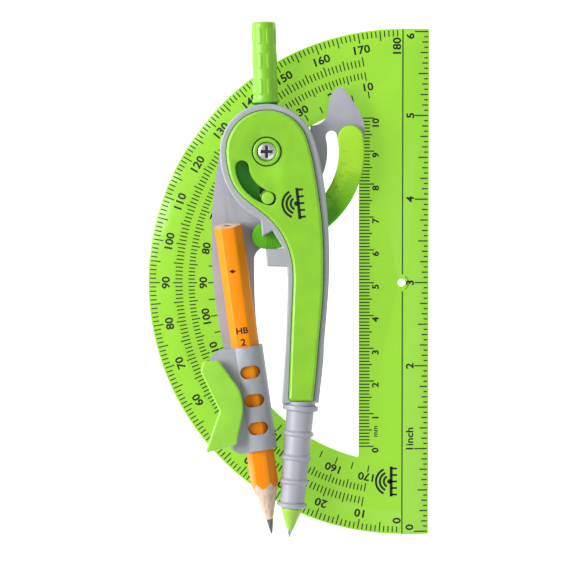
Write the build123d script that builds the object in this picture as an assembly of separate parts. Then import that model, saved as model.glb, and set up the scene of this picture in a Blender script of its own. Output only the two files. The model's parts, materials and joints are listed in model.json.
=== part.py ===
from build123d import *
import os
from math import cos, radians, sin

# Drafting compass set: a half-circle protractor lying on its back, with a self-centring pencil
# compass lying on it. Millimetres, +Z up. The origin is the protractor's centre hole, at the
# underside. The compass is drawn about its own pivot and then moved to its place.

# ---------------------------------------------------------------- protractor
PLATE_T = 2.0
RIM_T = 0.9                 # thickness at every bevelled edge
RIM_R = 77.1                # outer arc, also half the length of the rules
BEVEL_R = 69.7              # where the outer bevel begins
RULE_W = 8.3                # straight rule strip beyond the base line
CORNER_R = 0.6
HOLE_R = 1.2
WINDOW_R = 55.0
WINDOW_X = -13.0            # straight side of the window
WINDOW_CORNER, WINDOW_TOP_CORNER = 0.4, 1.6

# ---------------------------------------------------------------- compass, place and pivot
PIVOT_X, PIVOT_Y = -40.9, 40.0
REST_GAP = 0.2              # compass clear of the protractor
BACK_Z = -5.4               # rearmost face of the compass
PIVOT_Z = PLATE_T + REST_GAP - BACK_Z
JOURNAL_R = 3.2             # bush that both legs turn on
RUN = 0.05                  # radial running clearance
WASHER_R = 6.0
WASHER_SEAT_R = 6.2
WASHER_T = 0.6

# levels through the compass, from the back to the front
FRAME_FRONT = -1.15         # head, web and fin of the pencil leg
BLADE_FRONT = -3.0          # the pencil leg beside and behind the pencil
WEB_BACK = -3.6
PLATE_HALF = 1.0            # handle plate
ARC_BACK, ARC_FRONT = FRAME_FRONT, 0.9
SHELL_BACK, SHELL_FRONT = 1.15, 5.0
COVER_SEAT = 4.2
COVER_FRONT = 6.4
PIN_FRONT = 6.5
TIP_Z = 1.5                 # pencil axis and needle axis

# ---------------------------------------------------------------- self-centring mechanism
AXIS_LEAN = 1.4             # the handle's axis leans to the left at the top
PIN_R = 1.9
PIN_COLLAR_R = 2.25
SLOT_HALF = 2.05            # half width of the curved slots in both legs
PLATE_SLOT_HALF = 2.4       # half width of the straight slot in the handle plate
PIN_REST_R = 13.9           # pin to pivot with the legs closed
PIN_PER_RAD = 4.98          # how far the pin climbs per radian of each leg
SLOT_SWEEP = 59.0           # degrees of the curved slot past the pin's place at rest
SLOT_SPARE = 2.0            # degrees of the curved slot before that place

# ---------------------------------------------------------------- head, handle and arc
HEAD_R = 14.3
HEAD_SHIFT = 0.2            # the head's disc sits a little to the right of the pivot
COVER_R = 12.55
FRAME_HEAD_R = 14.0
PLATE_R = 13.9
COVER_HOLE_R = 4.5
BUSH_HEAD_R = 4.1
SCREW_HEAD_R = 2.7
SCREW_R = 1.5
BUSH_FRONT = 6.9
BUSH_BACK = -3.4
SCREW_SEAT = 5.7            # back of the screw's head
SCREW_FRONT = 6.9
SCREW_BACK = -5.2
NUT_FLATS, NUT_BACK, NUT_FRONT = 5.5, -5.3, -3.95
SPRING_R, SPRING_BACK, SPRING_FRONT = 3.4, -3.9, -3.45
ARC_SCREW_HEAD_R, ARC_SCREW_R = 1.9, 1.0
ARC_SCREW_SINK = 1.3        # depth of the seat for the screw's head
ARC_SKIN = 0.7              # material left in front of the screw's hole
GRIP_R, GRIP_FOOT_R = 3.7, 4.2
GRIP_LOW, GRIP_HIGH = 14.6, 39.0
GRIP_ROUND = 0.6            # rounding at the grip's top, which is crowned a little
GRIP_CROWN = 0.15
FOOT_H = 2.2
RIB_LONG, RIB_WIDE, RIB_OUT = 5.0, 1.6, 3.95
RIB_ROWS = (19.4, 27.2, 34.6)
RIB_COLUMNS = 8
ARC_IN, ARC_OUT = 21.7, 29.4
ARC_MID, ARC_HALF = (ARC_IN + ARC_OUT) / 2, (ARC_OUT - ARC_IN) / 2
ARC_FROM, ARC_TO = -91.5, 9.0
WEB_R = 18.25
SCREW_PAD_R = 2.95

# ---------------------------------------------------------------- pencil, sleeve and clamp
PENCIL_TOP = (-11.6, -23.0)
PENCIL_LEAN = 8.0           # degrees, tip to the right
PENCIL_L = 93.7
FLATS = 7.5
HEX_TURN = 5.0
EDGE_ROUND = 1.0            # rounding of the pencil's six edges
LEAD_R = 1.1
CONE_L = 15.6
SAW_ANGLE = 10.0
LEAD_OUT = 4.5
SLEEVE_R, SLEEVE_BORE = 5.25, 4.3
SLEEVE_LOW, SLEEVE_HIGH = 36.2, 67.7      # along the pencil from its top
WINDOWS = (43.8, 52.4, 60.9)
WINDOW_H, WINDOW_W = 3.9, 6.0
WINDOW_SHIFT = 0.5          # the windows sit a little to the right of the axis
FLANGE_FRONT, FLANGE_T = 5.8, 1.9
REAR_FLANGE_BACK = -2.8
FLANGE_ROUND = 1.4
LEVER_BACK, LEVER_FRONT = 7.2, 9.2
LEVER_HUB_R = 3.0
LEVER_SKIN = 0.8            # material left in front of the lever's blind hole
CLAMP_X, CLAMP_Y = -10.9, -77.2
CLAMP_R = 1.25

# ---------------------------------------------------------------- needle end
BARREL_TOP = (10.2, -76.6)
BARREL_LEAN = 4.9           # degrees, tip to the left
BARREL_L = 31.4
CONE_END, POINT_END = 38.0, 40.6
TENON_R, TENON_L = 3.0, 9.0
ROOT_R, ROOT_L = 4.4, 4.8
RING_PLACES = (8.65, 16.0, 23.3, 30.5)    # rings round the barrel, from its top
RING_SIZES = (4.75, 4.6, 4.5, 4.65)
RING_TUBE = 0.75
STEM_R, STEM_L = 2.0, 5.8   # stem of the nose cone, inside the barrel
NEEDLE_R = 0.5


def slab(face, low, high):
    """A flat face of the XY plane, made solid between two levels."""
    return extrude(Pos(0, 0, low) * face, amount=high - low)


def rod(radius, low, high, x=0.0, y=0.0):
    return Pos(x, y, (low + high) / 2) * Cylinder(radius, high - low)


def polar(radius, angle):
    return (radius * cos(radians(angle)), radius * sin(radians(angle)))


def outline(*edges):
    return make_face(Curve() + list(edges))


def polygon(*points):
    return make_face(Polyline(*points, close=True))


def sector(radius, start, end):
    """A pie slice about the origin, from one angle to another."""
    middle = polar(radius, (start + end) / 2)
    arc = ThreePointArc(polar(radius, start), middle, polar(radius, end))
    return outline(Line((0, 0), polar(radius, start)), arc, Line(polar(radius, end), (0, 0)))


def ring_sector(inner, outer, start, end):
    return sector(outer, start, end) - Circle(inner)


def along(top, lean):
    """Frame of a long piece: +X to the right, +Y to the front, +Z down from its top to its tip."""
    down = (sin(radians(lean)), -cos(radians(lean)), 0)
    right = (cos(radians(lean)), sin(radians(lean)), 0)
    return Plane(origin=(top[0], top[1], TIP_Z), x_dir=right, z_dir=down)


def turned(*points):
    """A turned piece: a closed profile of (radius, distance) points spun about +Z."""
    profile = Plane.XZ * polygon(*points)
    return revolve(profile, axis=Axis.Z)


HANDLE_AXIS = 90 + AXIS_LEAN
SLOT_AXIS = HANDLE_AXIS + 180
PENCIL = along(PENCIL_TOP, PENCIL_LEAN)
BARREL = along(BARREL_TOP, -BARREL_LEAN)


def beside_pencil(side, distance):
    """A point beside the pencil: so far to the right of its axis, so far down from its top."""
    place = PENCIL.from_local_coords((side, 0, distance))
    return (place.X, place.Y)


# ---------------------------------------------------------------- protractor
def protractor_plate():
    rim = ThreePointArc((0, -RIM_R), (-RIM_R, 0), (0, RIM_R))
    half = outline(rim, Line((0, RIM_R), (0, -RIM_R)))
    strip = Pos(RULE_W / 2, 0) * Rectangle(RULE_W, 2 * RIM_R)
    strip = fillet(strip.vertices().group_by(Axis.X)[-1], CORNER_R)
    window = Circle(WINDOW_R) & Pos(WINDOW_X - WINDOW_R, 0) * Rectangle(2 * WINDOW_R, 3 * WINDOW_R)
    window = fillet([window.vertices().sort_by(Axis.Y)[0]], WINDOW_CORNER)
    window = fillet([window.vertices().sort_by(Axis.Y)[-1]], WINDOW_TOP_CORNER)
    plate = slab(half + strip - window, 0, PLATE_T)
    above, past_rule, past_rim = 2 * PLATE_T, RULE_W + 1, RIM_R + 1
    slope = ((0, PLATE_T), (past_rule, rule_level(past_rule)), (past_rule, above), (0, above))
    plate -= extrude(Plane.XZ * polygon(*slope), amount=past_rim, both=True)
    slope = ((BEVEL_R, PLATE_T), (past_rim, rim_level(past_rim)), (past_rim, above), (BEVEL_R, above))
    bevel = revolve(Plane.XZ * polygon(*slope), axis=Axis.Z)
    plate -= bevel & Pos(-past_rim, 0, PLATE_T) * Box(2 * past_rim, 2 * past_rim, 2 * above)
    return plate - rod(HOLE_R, -1, PLATE_T + 1)


def rule_level(x):
    """Height of the rule strip's sloping face."""
    return PLATE_T + (RIM_T - PLATE_T) * x / RULE_W


def rim_level(radius):
    """Height of the outer bevel."""
    return PLATE_T + (RIM_T - PLATE_T) * (radius - BEVEL_R) / (RIM_R - BEVEL_R)


# ---------------------------------------------------------------- slots of the mechanism
def curved_slot(side, half_width):
    """Slot that the pin follows in a leg: a spiral about the pivot, clockwise for side -1."""
    steps = 6
    places, inside, outside = [], [], []
    for step in range(steps + 1):
        turn = (SLOT_SWEEP + SLOT_SPARE) * step / steps - SLOT_SPARE
        radius, angle = PIN_REST_R - PIN_PER_RAD * radians(turn), SLOT_AXIS + side * turn
        place = Vector(*polar(radius, angle))
        square_to_path = Vector(*polar(radius, angle)) + Vector(*polar(side * PIN_PER_RAD, angle + 90))
        reach = square_to_path.normalized() * half_width
        places.append(place)
        inside.append(place - reach)
        outside.append(place + reach)
    band = outline(
        Spline(*inside),
        Line(inside[-1], outside[-1]),
        Spline(*reversed(outside)),
        Line(outside[0], inside[0]),
    )
    return band + Pos(places[0]) * Circle(half_width) + Pos(places[-1]) * Circle(half_width)


def straight_slot():
    """Slot in the handle plate, along the handle's axis."""
    top, low = PIN_REST_R - PIN_PER_RAD * radians(SLOT_SWEEP), PIN_REST_R
    length = low - top + 2 * PLATE_SLOT_HALF
    centre = polar((top + low) / 2, SLOT_AXIS)
    return Pos(*centre) * Rot(0, 0, SLOT_AXIS) * SlotOverall(length, 2 * PLATE_SLOT_HALF)


def centring_pin():
    x, y = polar(PIN_REST_R, SLOT_AXIS)
    shaft = rod(PIN_R, BACK_Z + 0.3, PIN_FRONT, x, y)
    shaft = chamfer(shaft.edges().sort_by(Axis.Z)[-1], 0.25)
    return shaft + rod(PIN_COLLAR_R, -PLATE_HALF + 0.15, PLATE_HALF - 0.15, x, y)


# ---------------------------------------------------------------- handle
def grip():
    """Grip about its own axis, foot at the bottom."""
    body = turned(
        (0, GRIP_LOW),
        (GRIP_FOOT_R, GRIP_LOW),
        (GRIP_R, GRIP_LOW + FOOT_H),
        (GRIP_R, GRIP_HIGH - GRIP_ROUND),
        (GRIP_R - GRIP_ROUND, GRIP_HIGH),
        (0, GRIP_HIGH + GRIP_CROWN),
    )
    rib = extrude(Plane.YZ * Rot(0, 0, 90) * SlotOverall(RIB_LONG, RIB_WIDE), amount=2 * GRIP_R)
    step = 360 / RIB_COLUMNS
    ribs = [
        Rot(0, 0, (column + 0.5) * step) * Pos(0, 0, row) * rib
        for row in RIB_ROWS
        for column in range(RIB_COLUMNS)
    ]
    return body + (Part() + ribs & rod(RIB_OUT, GRIP_LOW, GRIP_HIGH))


def handle():
    axis_up = Rot(0, 0, AXIS_LEAN) * Rot(-90, 0, 0)
    tongue = Rot(0, 0, SLOT_AXIS) * Pos(PIN_REST_R / 2, 0) * Rectangle(PIN_REST_R, 10.4)
    tip = Pos(*polar(PIN_REST_R, SLOT_AXIS)) * Circle(5.2)
    neck = Rot(0, 0, HANDLE_AXIS) * Pos(13.5, 0) * Rectangle(4, 7.2)
    flat = Circle(PLATE_R) + tongue + tip + neck - straight_slot() - Circle(JOURNAL_R + 0.01)
    return slab(flat, -PLATE_HALF, PLATE_HALF) + axis_up * grip()


# ---------------------------------------------------------------- pivot hardware
def pivot_bush():
    """Flanged bush: its head fills the cover's hole and carries the screw's head in a recess."""
    neck = COVER_SEAT + 0.1
    head = rod(BUSH_HEAD_R, neck, BUSH_FRONT) - rod(SCREW_HEAD_R + 0.25, SCREW_SEAT, BUSH_FRONT + 1)
    body = head + rod(JOURNAL_R, BUSH_BACK, neck)
    body = chamfer(body.edges().filter_by(GeomType.CIRCLE).group_by(Axis.Z)[-1], 0.2)
    return body - rod(SCREW_R + RUN, BUSH_BACK - 1, BUSH_FRONT + 1)


def pivot_screw():
    shoulder = SCREW_SEAT + 0.7
    dome = turned(
        (0, SCREW_SEAT),
        (SCREW_HEAD_R, SCREW_SEAT),
        (SCREW_HEAD_R, shoulder),
        (2.0, SCREW_FRONT - 0.15),
        (0, SCREW_FRONT),
    )
    length, width, depth = 3.7, 0.9, 0.9
    cross = Pos(0, 0, SCREW_FRONT) * (Box(length, width, 2 * depth) + Box(width, length, 2 * depth))
    return dome - cross + rod(SCREW_R, SCREW_BACK, SCREW_SEAT)


def pivot_nut():
    flat = RegularPolygon(NUT_FLATS / 2, 6, major_radius=False) - Circle(SCREW_R + 0.02)
    return slab(flat, NUT_BACK, NUT_FRONT)


def spring_washer():
    """Split ring; the cut is as wide as the ring is thick."""
    ring = slab(Circle(SPRING_R) - Circle(SCREW_R + 0.2), SPRING_BACK, SPRING_FRONT)
    return ring - Pos(SPRING_R - 1, 0, SPRING_BACK) * Box(3, SPRING_FRONT - SPRING_BACK, 2)


def friction_washers():
    """One each side of the handle's plate."""
    ring = Circle(WASHER_R) - Circle(JOURNAL_R + RUN)
    front = slab(ring, PLATE_HALF, PLATE_HALF + WASHER_T)
    return [front, mirror(front, about=Plane.XY)]


# ---------------------------------------------------------------- needle leg
def on_head(radius, angle):
    """Point of a head disc's rim."""
    x, y = polar(radius, angle)
    return (x + HEAD_SHIFT, y)


def clockwise(angle):
    """Direction along a disc's rim at one angle, going clockwise."""
    return (sin(radians(angle)), -cos(radians(angle)))


def head_arc(radius, left, right):
    """Rim of a head disc, over the top from its left to its right."""
    places = [on_head(radius, angle) for angle in (left, (left + right) / 2, right)]
    return ThreePointArc(*places)


def shell_outline():
    """Grey casing of the front leg: a disc that flows into a blade, with a tooth and a block."""
    left, right = 182, 36
    side = Spline(
        on_head(HEAD_R, right), (15.2, 0.5), (16.5, -5.5), (18.0, -16.0),
        (18.75, -30.0), (18.3, -45.5), (17.2, -58.4), (15.6, -75.7),
        tangents=[clockwise(right), (-0.12, -1)],
    )
    inner = Spline((4.5, -75.9), (5.3, -65.0), (6.2, -44.0), (6.1, -34.7), tangents=[(0.08, 1), (-0.05, 1)])
    block = Polyline((6.1, -34.7), (0.1, -34.5), (-0.4, -29.3), (5.1, -29.2), (1.7, -23.8), (-1.4, -25.6))
    tooth = Line((-1.4, -25.6), (-1.8, -20.6))
    throat = Spline(
        (-1.8, -20.6), (-7.9, -16.2), (-12.4, -9.2), on_head(HEAD_R, left),
        tangents=[(-0.9, 0.5), clockwise(left)],
    )
    end = Line((15.6, -75.7), (4.5, -75.9))
    return outline(head_arc(HEAD_R, left, right), side, end, inner, block, tooth, throat)


def cover_outline():
    """Green cover: a disc that flows into a long blade."""
    left, right = 183, 20
    side = Spline(
        on_head(COVER_R, right), (13.0, 1.1), (15.2, -9.7), (16.9, -24.0), (17.2, -36.0),
        (16.8, -46.0), (15.8, -56.6), (14.1, -75.2),
        tangents=[clockwise(right), (-0.12, -1)],
    )
    low, throat = ((6.4, -75.4), (6.9, -62.0), (7.6, -44.0)), ((7.1, -31.4), (1.1, -20.6), (-9.6, -10.9))
    inner = Spline(*low, *throat, on_head(COVER_R, left), tangents=[(0.04, 1), clockwise(left)])
    face = outline(head_arc(COVER_R, left, right), side, Line((14.1, -75.2), (6.4, -75.4)), inner)
    return fillet(face.vertices().group_by(Axis.Y)[0], 1.3)


def guide_hook():
    """Finger that passes outside the scale arc and hooks behind it."""
    finger = slab(Pos(1.9, -32.2) * Rectangle(2.4, 5.0), -2.8, SHELL_BACK + 0.5)
    lip = slab(ring_sector(28.2, 31, -87.0, -84.0), -2.8, ARC_BACK - 0.15)
    return finger - rod(ARC_OUT + 0.3, -2.0, 2.0) + lip


def needle_leg_shell():
    shell = slab(shell_outline(), SHELL_BACK, SHELL_FRONT)
    shell = chamfer(shell.faces().sort_by(Axis.Z)[-1].outer_wire().edges(), 0.4)
    shell += BARREL * Pos(0, 0, -ROOT_L / 2) * Cylinder(ROOT_R, ROOT_L)
    shell -= slab(cover_outline(), COVER_SEAT, SHELL_FRONT + 1)
    shell -= rod(JOURNAL_R + RUN, 0, 6)
    shell -= rod(WASHER_SEAT_R, 0, PLATE_HALF + WASHER_T + 0.05)
    shell -= slab(curved_slot(-1, SLOT_HALF), 0, 6)
    tenon = BARREL * Pos(0, 0, TENON_L / 2) * Cylinder(TENON_R, TENON_L)
    return shell + guide_hook() + tenon


def needle_leg_cover():
    body = slab(cover_outline(), COVER_SEAT, COVER_FRONT)
    rim = body.faces().sort_by(Axis.Z)[-1].outer_wire().edges()
    body = fillet(rim, 1.1)
    body -= rod(COVER_HOLE_R, 0, 8)
    return body - slab(curved_slot(-1, SLOT_HALF), 0, 8)


def needle_barrel():
    body = turned(
        (0, 0),
        (4.9, 0),
        (5.35, 0.4),
        (5.35, 1.2),
        (4.9, 1.6),
        (4.2, 1.8),
        (4.1, 8.0),
        (3.8, 22.0),
        (3.7, BARREL_L - 0.3),
        (3.4, BARREL_L),
        (0, BARREL_L),
    )
    for distance, radius in zip(RING_PLACES, RING_SIZES):
        body += Pos(0, 0, distance) * Torus(radius - RING_TUBE, RING_TUBE)
    body -= Pos(0, 0, TENON_L / 2) * Cylinder(TENON_R + 0.05, TENON_L + 0.4)
    body -= Pos(0, 0, BARREL_L) * Cylinder(STEM_R + 0.05, 2 * STEM_L + 0.2)
    return BARREL * body


def nose_cone():
    cone = turned(
        (0, BARREL_L - STEM_L),
        (STEM_R, BARREL_L - STEM_L),
        (STEM_R, BARREL_L + 0.05),
        (3.2, BARREL_L + 0.05),
        (2.9, BARREL_L + 1.3),
        (1.1, CONE_END),
        (0, CONE_END),
    )
    return BARREL * (cone - rod(NEEDLE_R, BARREL_L - 4, CONE_END + 1))


def needle_point():
    """Ground steel point; its shoulder closes the end of the cone."""
    point = turned(
        (0, BARREL_L - 3.9),
        (NEEDLE_R, BARREL_L - 3.9),
        (NEEDLE_R, CONE_END),
        (1.0, CONE_END),
        (0.12, POINT_END),
        (0, POINT_END),
    )
    return BARREL * point


# ---------------------------------------------------------------- pencil leg
def blade_outline():
    """Rear leg from the head down to its round end behind the sleeve."""
    left = Spline((-12.4, 7.0), (-15.2, -5.5), (-16.8, -27), (-15.6, -45.8), beside_pencil(-6.4, 40))
    low = ThreePointArc(beside_pencil(-4.4, 54), beside_pencil(0, 58.4), beside_pencil(4.4, 54))
    right = Spline(beside_pencil(4.4, 40), (-3.4, -50.7), (-3.9, -37.6), (-3.9, -33.3))
    corner = ThreePointArc((-3.9, -33.3), (-3.0, -30.4), (-0.9, -29.0))
    close = Polyline((-0.9, -29.0), (0.6, -27.2), (10.0, -10.2), (0, 0), (-12.4, 7.0))
    sides = (
        Line(beside_pencil(-6.4, 40), beside_pencil(-4.4, 54)),
        Line(beside_pencil(4.4, 54), beside_pencil(4.4, 40)),
    )
    return outline(left, sides[0], low, sides[1], right, corner, close)


def fin_outline():
    """Fin that carries the upper end of the scale arc."""
    inner = Spline((13.1, 7.8), (15.8, 8.3), (17.6, 9.8), (18.6, 13.8), (19.7, 17.4))
    top = ThreePointArc((19.7, 17.4), (21.9, 19.3), (24.2, 17.7))
    outer = Spline((24.2, 17.7), (27.0, 13.6), (29.3, 8.5), (29.5, 5.0), (29.1, 1.0))
    close = Polyline((29.1, 1.0), (21.7, 1.0), (13.1, 1.0), (13.1, 7.8))
    return outline(inner, top, outer, close)


def arc_gap():
    """Gap between the web and the scale arc, with a round upper end."""
    middle, half, top = (WEB_R + ARC_IN) / 2, (ARC_IN - WEB_R) / 2, 12.9
    return ring_sector(WEB_R, ARC_IN, -95, top) + Pos(*polar(middle, top)) * Circle(half)


def screw_places():
    """Centres of the scale arc's round ends, where its screws are."""
    return [polar(ARC_MID, angle) for angle in (ARC_FROM, ARC_TO)]


def arc_face():
    ends = [Pos(*place) * Circle(ARC_HALF) for place in screw_places()]
    return ring_sector(ARC_IN, ARC_OUT, ARC_FROM, ARC_TO) + ends[0] + ends[1]


def pencil_leg_frame():
    web = sector(WEB_R, -60, 25) + (fin_outline() - arc_gap())
    frame = slab(web, WEB_BACK, FRAME_FRONT)
    frame += slab(blade_outline(), BACK_Z, BLADE_FRONT)
    frame += slab(Circle(FRAME_HEAD_R), BACK_Z, FRAME_FRONT)
    for x, y in screw_places():
        frame += rod(SCREW_PAD_R, BACK_Z, FRAME_FRONT, x, y)
    for x, y in screw_places():
        frame -= rod(ARC_SCREW_HEAD_R + 0.2, BACK_Z - 1, BACK_Z + ARC_SCREW_SINK, x, y)
        frame -= rod(ARC_SCREW_R, BACK_Z - 1, 0, x, y)
    seat = Cylinder(SLEEVE_R + 0.02, PENCIL_L - SLEEVE_LOW, align=(Align.CENTER, Align.CENTER, Align.MIN))
    frame -= PENCIL * Pos(0, 0, SLEEVE_LOW) * seat
    frame -= sleeve_lug(0.1)
    frame -= rod(JOURNAL_R + RUN, BACK_Z - 1, 0)
    frame -= rod(WASHER_SEAT_R, -PLATE_HALF - WASHER_T - 0.05, 0)
    frame -= rod(SPRING_R + 0.35, BACK_Z - 1, BUSH_BACK)
    return frame - slab(curved_slot(1, SLOT_HALF), BACK_Z - 1, 0)


def scale_arc():
    arc = slab(arc_face(), ARC_BACK, ARC_FRONT)
    arc = chamfer(arc.faces().sort_by(Axis.Z)[-1].edges(), 0.35)
    for x, y in screw_places():
        arc -= rod(ARC_SCREW_R, ARC_BACK - 1, ARC_FRONT - ARC_SKIN, x, y)
    return arc


def arc_screws():
    screws = []
    for x, y in screw_places():
        seat = BACK_Z + ARC_SCREW_SINK
        head = rod(ARC_SCREW_HEAD_R, seat - 1.05, seat, x, y) - Pos(x, y, BACK_Z) * Box(2.4, 0.6, 1.4)
        screws.append(head + rod(ARC_SCREW_R, seat, ARC_FRONT - ARC_SKIN, x, y))
    return screws


# ---------------------------------------------------------------- sleeve and clamp
def sleeve_lug(room=0.0):
    """Peg on the back of the sleeve that locks it into the leg."""
    wide, long = 3.2 + 2 * room, 9.0 + 2 * room
    return PENCIL * Pos(0, -6.0, 46) * Box(wide, 1.8 + 2 * room, long)


def flange(points, front):
    """Flat wing of the split sleeve, with round corners, given beside the pencil's axis."""
    face = polygon(*[beside_pencil(side, distance) for side, distance in points])
    return slab(fillet(face.vertices(), FLANGE_ROUND), front - FLANGE_T, front)


def pencil_sleeve():
    length = SLEEVE_HIGH - SLEEVE_LOW
    middle = (SLEEVE_HIGH + SLEEVE_LOW) / 2
    body = PENCIL * Pos(0, 0, middle) * Cylinder(SLEEVE_R, length)
    front = [(0, 36.1), (-7.9, 36.1), (-9.4, 39.4), (-8.9, 51), (-7.6, 66.5), (-6.4, 67.9), (0, 67.9)]
    rear = [(0, 36.1), (-8.9, 36.6), (-11.6, 38.9), (-10.9, 51), (-8.8, 66.5), (-7.6, 67.9), (0, 67.9)]
    body += flange(front, FLANGE_FRONT)
    body += flange(rear, REAR_FLANGE_BACK + FLANGE_T)
    body += sleeve_lug()
    body -= PENCIL * Pos(0, 0, middle) * Cylinder(SLEEVE_BORE, length + 2)
    corners = ((0, 30), (-14, 30), (-14, 75), (0, 75))
    split = polygon(*[beside_pencil(side, distance) for side, distance in corners])
    body -= slab(split, REAR_FLANGE_BACK + FLANGE_T, FLANGE_FRONT - FLANGE_T)
    window = extrude(Plane.XZ * Pos(WINDOW_SHIFT, 0) * SlotOverall(WINDOW_W, WINDOW_H), amount=-8)
    for distance in WINDOWS:
        body -= PENCIL * Pos(0, 0.4, distance) * window
    return body - rod(CLAMP_R + RUN, BACK_Z, FLANGE_FRONT + 1, CLAMP_X, CLAMP_Y)


def lever_outline():
    """Arrow-shaped lever: a notch on its left, a bulge on its right, and round corners."""
    head, tail, notch = (-19.2, -62.7), (-18.6, -90.5), (-14.2, -77.8)
    shoulder, cheek, foot = (-14.3, -62.7), (-19.8, -66.0), (-8.9, -87.9)
    straight = Polyline(shoulder, head, cheek, notch, tail, foot)
    bulge = Spline(foot, (-8.2, -83.6), (-7.1, -77.5), (-8.0, -71.9), (-10.1, -68.6))
    face = outline(straight, bulge, Line((-10.1, -68.6), shoulder))
    rounds = {head: 1.3, cheek: 1.2, shoulder: 0.8, tail: 0.6, foot: 0.6, notch: 0.5}
    for corner, radius in rounds.items():
        nearest = face.vertices().sort_by_distance(corner)[0]
        face = fillet([nearest], radius)
    return face


def clamp_lever():
    lever = slab(lever_outline(), LEVER_BACK, LEVER_FRONT)
    lever = chamfer(lever.faces().sort_by(Axis.Z)[-1].edges(), 0.4)
    lever += rod(LEVER_HUB_R, FLANGE_FRONT + 0.05, LEVER_BACK, CLAMP_X, CLAMP_Y)
    return lever - rod(CLAMP_R, 0, LEVER_FRONT - LEVER_SKIN, CLAMP_X, CLAMP_Y)


def clamp_pin():
    shaft = rod(CLAMP_R, -4.1, LEVER_FRONT - LEVER_SKIN, CLAMP_X, CLAMP_Y)
    groove = rod(CLAMP_R + 1, -3.6, -3.0, CLAMP_X, CLAMP_Y) - rod(0.9, -5, 0, CLAMP_X, CLAMP_Y)
    return shaft - groove


def clamp_pin_clip():
    ring = rod(1.95, -3.55, -3.05, CLAMP_X, CLAMP_Y) - rod(0.92, -4, -2, CLAMP_X, CLAMP_Y)
    return ring - Pos(CLAMP_X - 2, CLAMP_Y, -3.3) * Box(4, 1.2, 2)


# ---------------------------------------------------------------- pencil
def past_sawn_end(depth):
    """Everything above the pencil's sawn end, which is cut a little askew and faces the front."""
    return Pos(0, FLATS / 2, depth) * Rot(SAW_ANGLE, 0, 0) * Pos(0, 0, -10) * Box(30, 30, 20)


def pencil_casing():
    """Hexagonal prism, sawn at its upper end and cut to a cone where it is sharpened."""
    hexagon = RegularPolygon(FLATS / 2, 6, major_radius=False)
    hexagon = fillet(hexagon.vertices(), EDGE_ROUND)
    wood_end = PENCIL_L - LEAD_OUT
    prism = extrude(Pos(0, 0, -3) * Rot(0, 0, HEX_TURN) * hexagon, amount=wood_end + 3)
    widest = FLATS / 2 + 1
    cone_from = wood_end - (CONE_L - LEAD_OUT) * (widest - LEAD_R) / (FLATS / 2 + 0.4 - LEAD_R)
    envelope = turned(
        (0, -4),
        (widest, -4),
        (widest, cone_from),
        (LEAD_R + 0.02, wood_end),
        (0, wood_end),
    )
    return PENCIL * ((prism & envelope) - rod(LEAD_R, -4, PENCIL_L) - past_sawn_end(0))


def pencil_lead():
    lead = turned(
        (0, -3),
        (LEAD_R, -3),
        (LEAD_R, PENCIL_L - LEAD_OUT),
        (0.32, PENCIL_L - 0.3),
        (0, PENCIL_L),
    )
    return PENCIL * (lead - past_sawn_end(0.1))


COMPASS_NODES = {
    "handle": handle,
    "pivot_bush": pivot_bush,
    "pivot_screw": pivot_screw,
    "pivot_nut": pivot_nut,
    "spring_washer": spring_washer,
    "friction_washers": friction_washers,
    "centring_pin": centring_pin,
    "needle_leg_shell": needle_leg_shell,
    "needle_leg_cover": needle_leg_cover,
    "needle_barrel": needle_barrel,
    "nose_cone": nose_cone,
    "needle_point": needle_point,
    "pencil_leg_frame": pencil_leg_frame,
    "scale_arc": scale_arc,
    "arc_screws": arc_screws,
    "pencil_sleeve": pencil_sleeve,
    "clamp_lever": clamp_lever,
    "clamp_pin": clamp_pin,
    "clamp_pin_clip": clamp_pin_clip,
    "pencil_casing": pencil_casing,
    "pencil_lead": pencil_lead,
}


def write(name, pieces):
    """One STEP file for a node, with each of its solids in it."""
    solids = [solid for piece in pieces for solid in piece.solids()]
    export_step(Compound(children=solids), f"parts/{name}.step")


def main():
    os.makedirs("parts", exist_ok=True)
    write("protractor_plate", [protractor_plate()])
    place = Pos(PIVOT_X, PIVOT_Y, PIVOT_Z)
    for name, make in COMPASS_NODES.items():
        made = make()
        pieces = made if isinstance(made, list) else [made]
        write(name, [place * piece for piece in pieces])


main()
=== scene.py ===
import json
from math import cos, exp, hypot, pi, radians, sin, sqrt

import bmesh
import bpy
from mathutils import Matrix, Vector
from mathutils.bvhtree import BVHTree

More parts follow.
